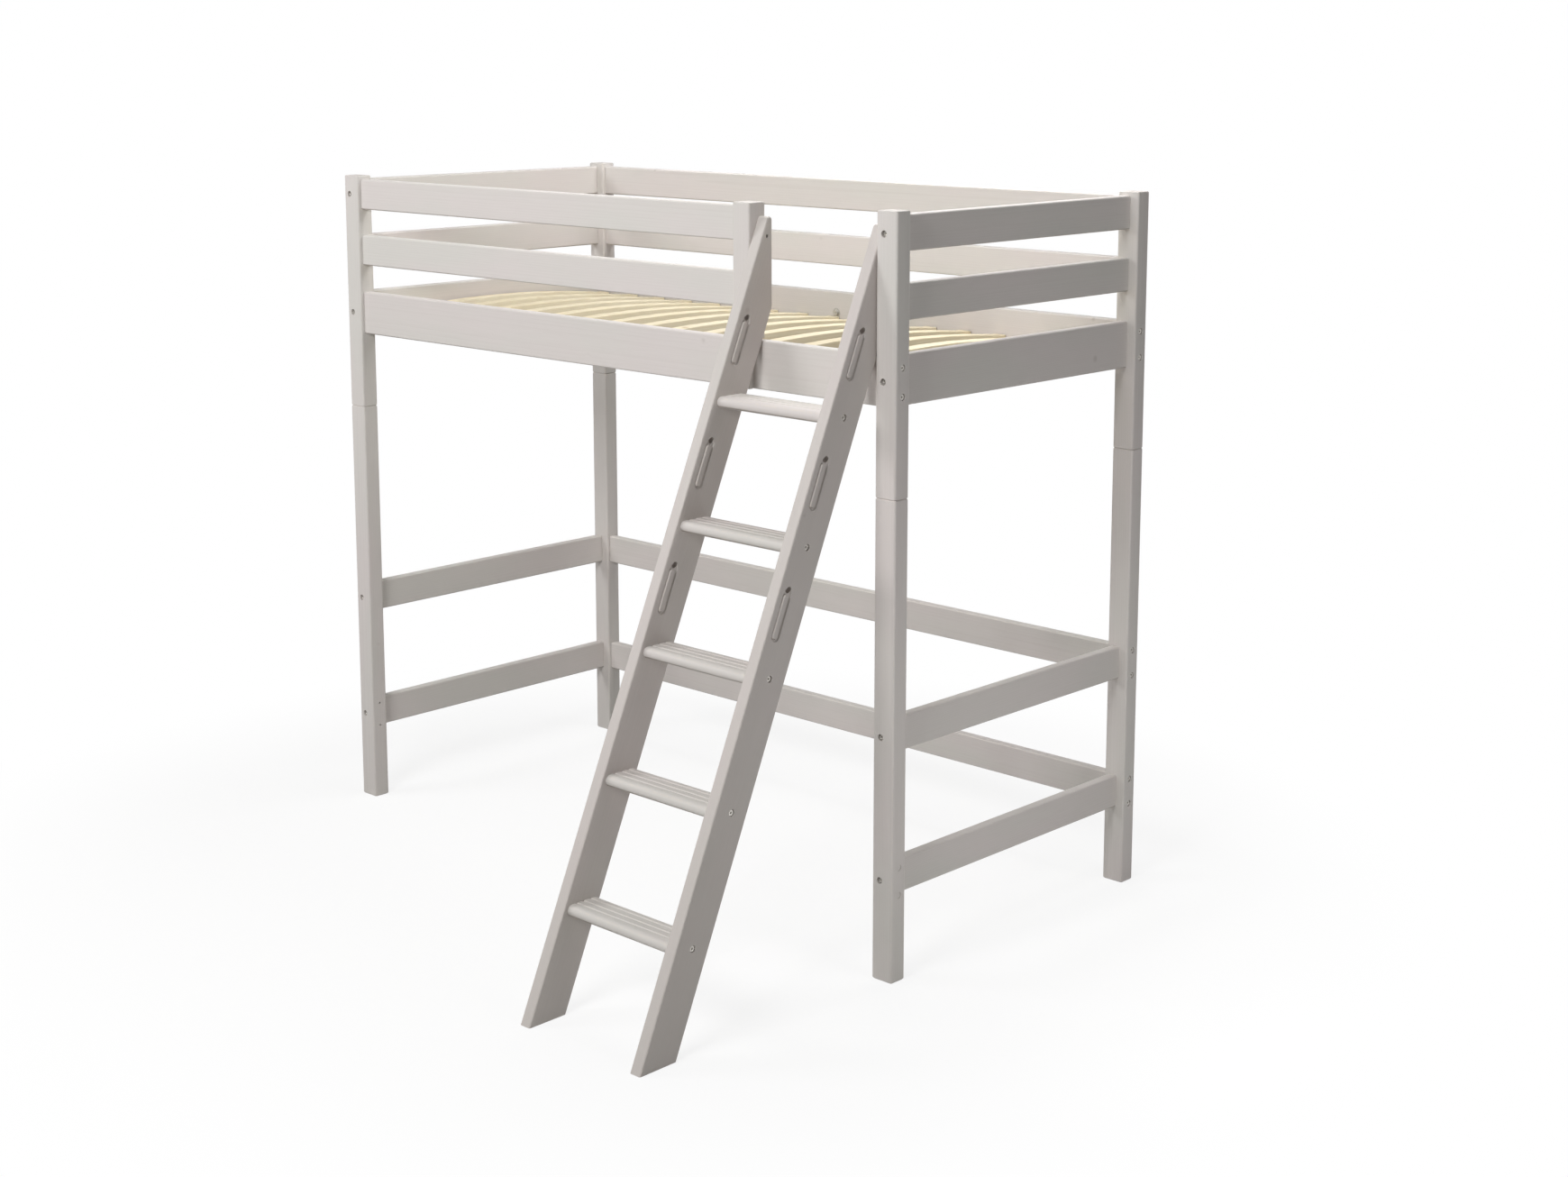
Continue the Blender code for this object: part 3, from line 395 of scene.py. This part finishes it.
def washed_pine():
    """Pine under a thin grey water-based wash: cool and matt, and the warm wood only just shows through."""
    return pine(
        "grey_washed_pine", early="DCD6D3", late="B4AAA4", clouds=("D8D1CE", "D3D1CB"), knot="8F857C",
        worn="DFD6CA", cut_end="BDB5AE", shares=GREY_SHARES,
    )


def raw_pine():
    """Planed pine with nothing on it: cream and straw stripes, dry to the eye, with brown knots."""
    return pine(
        "planed_raw_pine", early="F5EDD6", late="DFCBA0", clouds=("F1E6CB", "EDE0C0"), knot="B88C5A",
        worn="F3EAD2", cut_end="D9C498", shares=RAW_SHARES,
    )


def zinc_steel():
    """Zinc-plated steel: bright, a little cloudy, with fine turning marks that break up the reflection."""
    material, tree = new_material("zinc_plated_steel")
    place = add(tree, "TexCoord")
    clouds = add(
        tree, "TexNoise", {"Vector": place.outputs["Object"], "Scale": 1 / ZINC_CLOUD, "Detail": 3.0},
    )
    marks = add(tree, "TexNoise", {"Vector": place.outputs["Object"], "Scale": 1 / ZINC_GRIT, "Detail": 2.0})
    colour = add(
        tree, "Mix", {"Factor": clouds.outputs["Fac"], BELOW: linear("AEABA6"), OVER: linear("C6C3BD")},
        data_type="RGBA",
    )
    rough = add(
        tree, "MapRange",
        {"Value": clouds.outputs["Fac"], "From Min": ZINC_LEVELS[0], "From Max": ZINC_LEVELS[1],
         "To Min": ZINC_ROUGHNESS[0], "To Max": ZINC_ROUGHNESS[1]},
    )
    bump = add(tree, "Bump", {"Height": marks.outputs["Fac"], "Distance": ZINC_RELIEF, "Strength": FINE_BUMP})
    surface = add(
        tree, "BsdfPrincipled",
        {"Base Color": colour.outputs[MIXED], "Metallic": 1.0, "Roughness": rough.outputs[0],
         "Normal": bump.outputs[0]},
    )
    add(tree, "OutputMaterial", {"Surface": surface.outputs[0]})
    return material


def turned_beech():
    """Turned beech: pink-brown and close-grained, with short dark flecks along the pin."""
    material, tree = new_material("turned_beech")
    place = add(tree, "TexCoord")
    turn = add(tree, "Attribute", attribute_type="OBJECT", attribute_name="grain_turn")
    board = add(
        tree, "VectorRotate", {"Vector": place.outputs["Object"], "Rotation": turn.outputs["Vector"]},
        rotation_type="EULER_XYZ", invert=True,
    )
    fleck_at = add(tree, "VectorMath", {0: board.outputs[0], 1: BEECH_FLECK_SCALE}, operation="MULTIPLY")
    flecks = add(tree, "TexNoise", {"Vector": fleck_at.outputs[0], "Scale": 1.0, "Detail": 3.0})
    share = add(
        tree, "MapRange",
        {"Value": flecks.outputs["Fac"], "From Min": BEECH_LEVELS[0], "From Max": BEECH_LEVELS[1]},
    )
    colour = add(
        tree, "Mix", {"Factor": share.outputs[0], BELOW: linear("DDB88F"), OVER: linear("B98E62")},
        data_type="RGBA",
    )
    bump = add(
        tree, "Bump", {"Height": flecks.outputs["Fac"], "Distance": GRAIN_RELIEF, "Strength": FINE_BUMP},
    )
    surface = add(
        tree, "BsdfPrincipled",
        {"Base Color": colour.outputs[MIXED], "Roughness": BEECH_ROUGHNESS, "Normal": bump.outputs[0]},
    )
    add(tree, "OutputMaterial", {"Surface": surface.outputs[0]})
    return material


def middle(node):
    """The middle of a node's box."""
    low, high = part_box(node)
    return (low + high) / 2


def grain_of(name):
    """The direction of a piece's fibres: its longest side, or the slope of a ladder stringer."""
    low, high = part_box(name)
    size = high - low
    if name.endswith("stringer"):
        return (AXIS_Z + AXIS_Y * LEAN).normalized()
    return max((AXIS_X, AXIS_Y, AXIS_Z), key=size.dot)


def dress_timber():
    """Gives every solid of the model its finish, grain and tone, and soft shading on the rounded edges."""
    finishes = {
        "washed_pine": washed_pine(),
        "raw_pine": raw_pine(),
        "steel": zinc_steel(),
        "beech": turned_beech(),
    }
    chance = random.Random(GRAIN_SEED)
    for name, piece in sorted(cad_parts.items()):
        along = grain_of(name)
        side = AXIS_Y if along == AXIS_X else AXIS_X
        other = along.cross(side)
        turn = Matrix((along, side, other)).transposed().to_euler()
        apart = chance.uniform(NEAREST_HEART, FURTHEST_HEART)
        angle = chance.uniform(0, 2 * math.pi)
        piece["heart"] = list(middle(name) + side * apart * math.cos(angle) + other * apart * math.sin(angle))
        piece["grain_turn"] = list(turn)
        piece["darker"] = STRINGER_DARKER if name.endswith("stringer") else chance.uniform(0, BOARD_DARKER)
        for slot in piece.material_slots:
            slot.material = finishes[slot.material.name]
        weld = piece.modifiers.new("weld", "WELD")
        weld.merge_threshold = WELD_DISTANCE
        crease = piece.modifiers.new("crease", "EDGE_SPLIT")
        crease.split_angle = math.radians(TREAD_CREASE if name.startswith("tread") else CREASE)
        soften = piece.modifiers.new("soften", "WEIGHTED_NORMAL")
        soften.weight = FACE_WEIGHT
    return finishes


def ring(shape, centre, across, up, radii, steps):
    """A closed ring of points, its radius given for each step."""
    return [
        shape.verts.new(centre + (across * math.cos(t) + up * math.sin(t)) * radii(t))
        for t in (2 * math.pi * i / steps for i in range(steps))
    ]


def skin(shape, rings, closed=False):
    """Faces between rings. Either the last ring meets the first, or each of the two has a face of its own."""
    pairs = list(zip(rings, rings[1:]))
    if closed:
        pairs.append((rings[-1], rings[0]))
    else:
        shape.faces.new(list(reversed(rings[0])))
        shape.faces.new(rings[-1])
    for below, above in pairs:
        for i in range(len(below)):
            j = (i + 1) % len(below)
            shape.faces.new((below[i], below[j], above[j], above[i]))


def facing(outward):
    """Two directions that span a face."""
    across = AXIS_Z.cross(outward).normalized()
    return across, outward.cross(across)


def hexagon(apothem):
    """Radius of a hexagon at an angle."""
    sixth = math.pi / 3
    return lambda t: apothem / math.cos(t % sixth - sixth / 2)


def bolt_head(shape, face, outward, sunk, seat, radius=HEAD_RADIUS):
    """A flat round bolt head with a dished middle and a hex socket, standing on the floor of its seat."""
    across, up = facing(outward)
    top = face - outward * sunk
    dish = top - outward * HEAD_DISH
    levels = (
        (face - outward * seat, lambda t: radius),
        (top - outward * HEAD_CHAMFER, lambda t: radius),
        (top, lambda t: radius - HEAD_CHAMFER),
        (top, lambda t: radius - HEAD_RIM),
        (dish, lambda t: radius - HEAD_RIM - HEAD_DISH),
        (dish, hexagon(SOCKET_ACROSS / 2)),
        (dish - outward * SOCKET_DEPTH, hexagon(SOCKET_ACROSS / 2)),
    )
    skin(shape, [ring(shape, centre, across, up, radii, HEAD_STEPS) for centre, radii in levels])


def plug(shape, face, outward):
    """A turned wooden plug with a low dome, pressed into an unused counterbore."""
    across, up = facing(outward)
    top = face - outward * PLUG_SUNK
    rings = [ring(shape, face - outward * COUNTERBORE_DEPTH, across, up, lambda t: PLUG_RADIUS, HEAD_STEPS)]
    for share in PLUG_SHARES:
        level = top - outward * PLUG_DOME * (1 - math.cos(share * math.pi / 2))
        rings.append(ring(shape, level, across, up, lambda t, s=share: PLUG_RADIUS * s, HEAD_STEPS))
    skin(shape, rings)


def washer(shape, face, outward):
    """A flat washer with a broken rim, round the barrel of the middle bolt."""
    across, up = facing(outward)
    top = face + outward * MIDDLE_WASHER_HEIGHT
    levels = (
        (face, MIDDLE_BARREL_RADIUS),
        (face, MIDDLE_WASHER_RADIUS),
        (top - outward * HEAD_CHAMFER, MIDDLE_WASHER_RADIUS),
        (top, MIDDLE_WASHER_RADIUS - HEAD_CHAMFER),
        (top, MIDDLE_BARREL_RADIUS),
    )
    rings = [ring(shape, centre, across, up, lambda t, r=radius: r, HEAD_STEPS) for centre, radius in levels]
    skin(shape, rings, closed=True)


def front_line(height):
    """Y of the stringers' front edge at a height."""
    return FOOT_FRONT + LEAN * height


def filler_strip(shape, face_x, tread_top):
    """A flat oblong strip with a broad eased edge, on the floor of the recess above a tread."""
    down = -grain_of("left_stringer")
    across = AXIS_X.cross(down)
    hole_height = tread_top + RECESS_HOLE_ABOVE_TREAD
    hole = Vector((face_x - RECESS_DEPTH, front_line(hole_height) + RECESS_SETBACK, hole_height))
    hole -= across * STRIP_SHIFT
    rings = []
    for rise, radius in (
        (0, STRIP_HALF_WIDTH),
        (STRIP_HEIGHT - STRIP_EASING, STRIP_HALF_WIDTH),
        (STRIP_HEIGHT, STRIP_HALF_WIDTH - STRIP_EASING),
    ):
        outline = []
        for step in range(STRIP_STEPS):
            angle = 2 * math.pi * (step + 0.5) / STRIP_STEPS
            end = STRIP_LOWER_END if math.sin(angle) > 0 else STRIP_UPPER_END
            arm = across * math.cos(angle) * radius + down * (end + math.sin(angle) * radius)
            outline.append(shape.verts.new(hole + AXIS_X * rise + arm))
        rings.append(outline)
    skin(shape, rings)


def place_piece(name, shape, material, like):
    """Makes a piece of this shape with the grain and tone of a node of the model, and rides it on the bed."""
    bmesh.ops.recalc_face_normals(shape, faces=shape.faces)
    mesh = bpy.data.meshes.new(name)
    shape.to_mesh(mesh)
    shape.free()
    mesh.materials.append(material)
    mesh.shade_smooth()
    mesh.set_sharp_from_angle(angle=math.radians(FITTING_CREASE))
    piece = bpy.data.objects.new(name, mesh)
    bpy.context.scene.collection.objects.link(piece)
    for key in ("heart", "grain_turn", "darker"):
        piece[key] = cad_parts[like][key]
    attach(piece, BODY)


def post_fittings(finishes):
    """Bolt heads and plugs of the posts, each in the counterbore that the timber has for it."""
    post_bolts = bmesh.new()
    side_bolts = bmesh.new()
    plugs = bmesh.new()
    foot, lower, board, top = (
        middle(f"right_end_{level}").z for level in ("foot_rail", "lower_rail", "board", "top_rail")
    )
    for row, out_y in (("front", -AXIS_Y), ("back", AXIS_Y)):
        for side, out_x in (("left", -AXIS_X), ("right", AXIS_X)):
            low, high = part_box(f"{row}_{side}_upper_post")
            face_y = low.y if row == "front" else high.y
            face_x = low.x if side == "left" else high.x
            centre_y = (low.y + high.y) / 2
            rail_x = middle(f"{side}_end_board").x
            for height in (foot, lower, board, top):
                face = Vector((rail_x, face_y, height))
                bolt_head(post_bolts, face, out_y, POST_BOLT_SUNK, COUNTERBORE_DEPTH)
            levels = (foot, board) if row == "front" else (foot, lower, board)
            for height in levels:
                for rise in (-PAIR_OFFSET, PAIR_OFFSET):
                    face = Vector((face_x, centre_y, height + rise))
                    if row == "front" and height == foot:
                        plug(plugs, face, out_x)
                    else:
                        bolt_head(side_bolts, face, out_x, SIDE_BOLT_SUNK, COUNTERBORE_DEPTH)
    like = "front_right_upper_post"
    place_piece("end_rail_bolts", post_bolts, finishes["steel"], like)
    place_piece("long_rail_bolts", side_bolts, finishes["steel"], like)
    place_piece("hole_plugs", plugs, finishes["washed_pine"], like)


def rail_fittings(finishes):
    """Bolts that hold the stile to the front bed rail, and the bolt in the middle of the back one."""
    board = middle("back_bed_rail").z
    stile_bolts = bmesh.new()
    low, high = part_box("guard_rail_stile")
    for rise in (-STILE_BOLT_OFFSET, STILE_BOLT_OFFSET):
        face = Vector(((low.x + high.x) / 2, low.y, board + rise))
        bolt_head(stile_bolts, face, -AXIS_Y, STILE_BOLT_SUNK, STILE_COUNTERBORE_DEPTH)
    place_piece("stile_bolts", stile_bolts, finishes["steel"], "guard_rail_stile")

    low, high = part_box("back_bed_rail")
    face = Vector(((low.x + high.x) / 2, low.y, board))
    barrel = bmesh.new()
    bolt_head(barrel, face, -AXIS_Y, -MIDDLE_BARREL_HEIGHT, MIDDLE_SEAT_DEPTH, MIDDLE_BARREL_RADIUS)
    place_piece("middle_bolt", barrel, finishes["steel"], "back_bed_rail")
    flange = bmesh.new()
    washer(flange, face, -AXIS_Y)
    place_piece("middle_washer", flange, finishes["steel"], "back_bed_rail")


def ladder_fittings(finishes):
    """Bolts through the stringers into the treads, and the filler strips in the recesses."""
    tread_bolts = bmesh.new()
    strips = bmesh.new()
    for side, out_x in (("left", -AXIS_X), ("right", AXIS_X)):
        low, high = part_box(f"{side}_stringer")
        face_x = low.x if side == "left" else high.x
        for number in range(1, TREADS + 1):
            height = middle(f"tread_{number}").z
            sunk = LOW_TREAD_BOLT_SUNK if number <= LOW_TREADS else HIGH_TREAD_BOLT_SUNK
            face = Vector((face_x, front_line(height) + STRINGER_RUN / 2, height))
            bolt_head(tread_bolts, face, out_x, sunk, COUNTERBORE_DEPTH)
        for number in range(TREADS - RECESSES + 1, TREADS + 1):
            filler_strip(strips, high.x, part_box(f"tread_{number}")[1].z)
    place_piece("tread_bolts", tread_bolts, finishes["steel"], "left_stringer")
    place_piece("recess_strips", strips, finishes["washed_pine"], "right_stringer")


def seen_ray(tree):
    """1 for a ray from the camera or one that a mirror or glass passes on, and 0 for light."""
    path = add(tree, "LightPath")
    seen = path.outputs["Is Camera Ray"]
    for passed_on in ("Is Glossy Ray", "Is Transmission Ray"):
        seen = add(tree, "Math", {0: seen, 1: path.outputs[passed_on]}, operation="MAXIMUM").outputs[0]
    return seen


def paper_floor():
    """Seamless studio paper: white to the eye, with a faint shadow that fades out towards the horizon."""
    material, tree = new_material("seamless_studio_paper")
    seen = seen_ray(tree)
    tint = add(
        tree, "Mix", {"Factor": seen, BELOW: linear("D2D1CF"), OVER: linear("FFFFFF")}, data_type="RGBA",
    )
    paper = add(tree, "BsdfDiffuse", {"Color": tint.outputs[MIXED], "Roughness": PAPER_ROUGHNESS})
    white = add(tree, "Emission", {"Color": linear("FFFFFF"), "Strength": 1.0})
    place = add(tree, "TexCoord")
    away = add(tree, "VectorMath", {0: place.outputs["Object"]}, operation="LENGTH")
    blank = add(
        tree, "MapRange",
        {"Value": away.outputs["Value"], "From Min": SHADOW_NEAR, "From Max": SHADOW_FAR,
         "To Min": 1 - FLOOR_OWN_SHARE, "To Max": 1.0},
        interpolation_type="SMOOTHSTEP",
    )
    share = add(tree, "Math", {0: seen, 1: blank.outputs[0]}, operation="MULTIPLY")
    both = add(tree, "MixShader", {0: share.outputs[0], 1: paper.outputs[0], 2: white.outputs[0]})
    add(tree, "OutputMaterial", {"Surface": both.outputs[0]})
    return material


def studio():
    """A white floor and backdrop, with broad soft lamps."""
    for name, place, aim, width, height, watts in LAMPS:
        data = bpy.data.lights.new(name, "AREA")
        data.shape = "RECTANGLE"
        data.size = width
        data.size_y = height
        data.energy = watts
        lamp = bpy.data.objects.new(name, data)
        lamp.location = place
        lamp.rotation_euler = (Vector(aim) - Vector(place)).to_track_quat("-Z", "Y").to_euler()
        lamp.visible_camera = False
        bpy.context.scene.collection.objects.link(lamp)

    world = bpy.data.worlds.new("white_studio")
    world.use_nodes = True
    tree = world.node_tree
    tree.nodes.clear()
    strength = add(tree, "MapRange", {"Value": seen_ray(tree), "To Min": WORLD_LIGHT, "To Max": 1.0})
    sky = add(tree, "Background", {"Color": linear("FFFFFF"), "Strength": strength.outputs[0]})
    add(tree, "OutputWorld", {"Surface": sky.outputs[0]})
    bpy.context.scene.world = world

    shape = bmesh.new()
    bmesh.ops.create_grid(shape, x_segments=FLOOR_CELLS, y_segments=FLOOR_CELLS, size=FLOOR_SIDE / 2)
    mesh = bpy.data.meshes.new("studio_floor")
    shape.to_mesh(mesh)
    shape.free()
    mesh.materials.append(paper_floor())
    floor = bpy.data.objects.new("studio_floor", mesh)
    bpy.context.scene.collection.objects.link(floor)


def camera():
    """The photograph's viewpoint. The shift is small, so the whole bed stays in frame from every side."""
    data = bpy.data.cameras.new("camera")
    data.lens = CAMERA_LENS
    data.sensor_width = SENSOR_WIDTH
    data.shift_y = CAMERA_SHIFT
    view = bpy.data.objects.new("camera", data)
    view.location = CAMERA_PLACE
    view.rotation_euler = (math.radians(90 - CAMERA_PITCH), 0, math.radians(CAMERA_YAW))
    bpy.context.scene.collection.objects.link(view)
    bpy.context.scene.camera = view


# Blender may start with a cube, a lamp and a camera of its own.
for spare in ("Cube", "Light", "Camera"):
    if spare in bpy.data.objects:
        bpy.data.objects.remove(bpy.data.objects[spare])
bpy.context.scene.view_settings.view_transform = "Standard"
camera()
studio()
finishes = dress_timber()
post_fittings(finishes)
rail_fittings(finishes)
ladder_fittings(finishes)
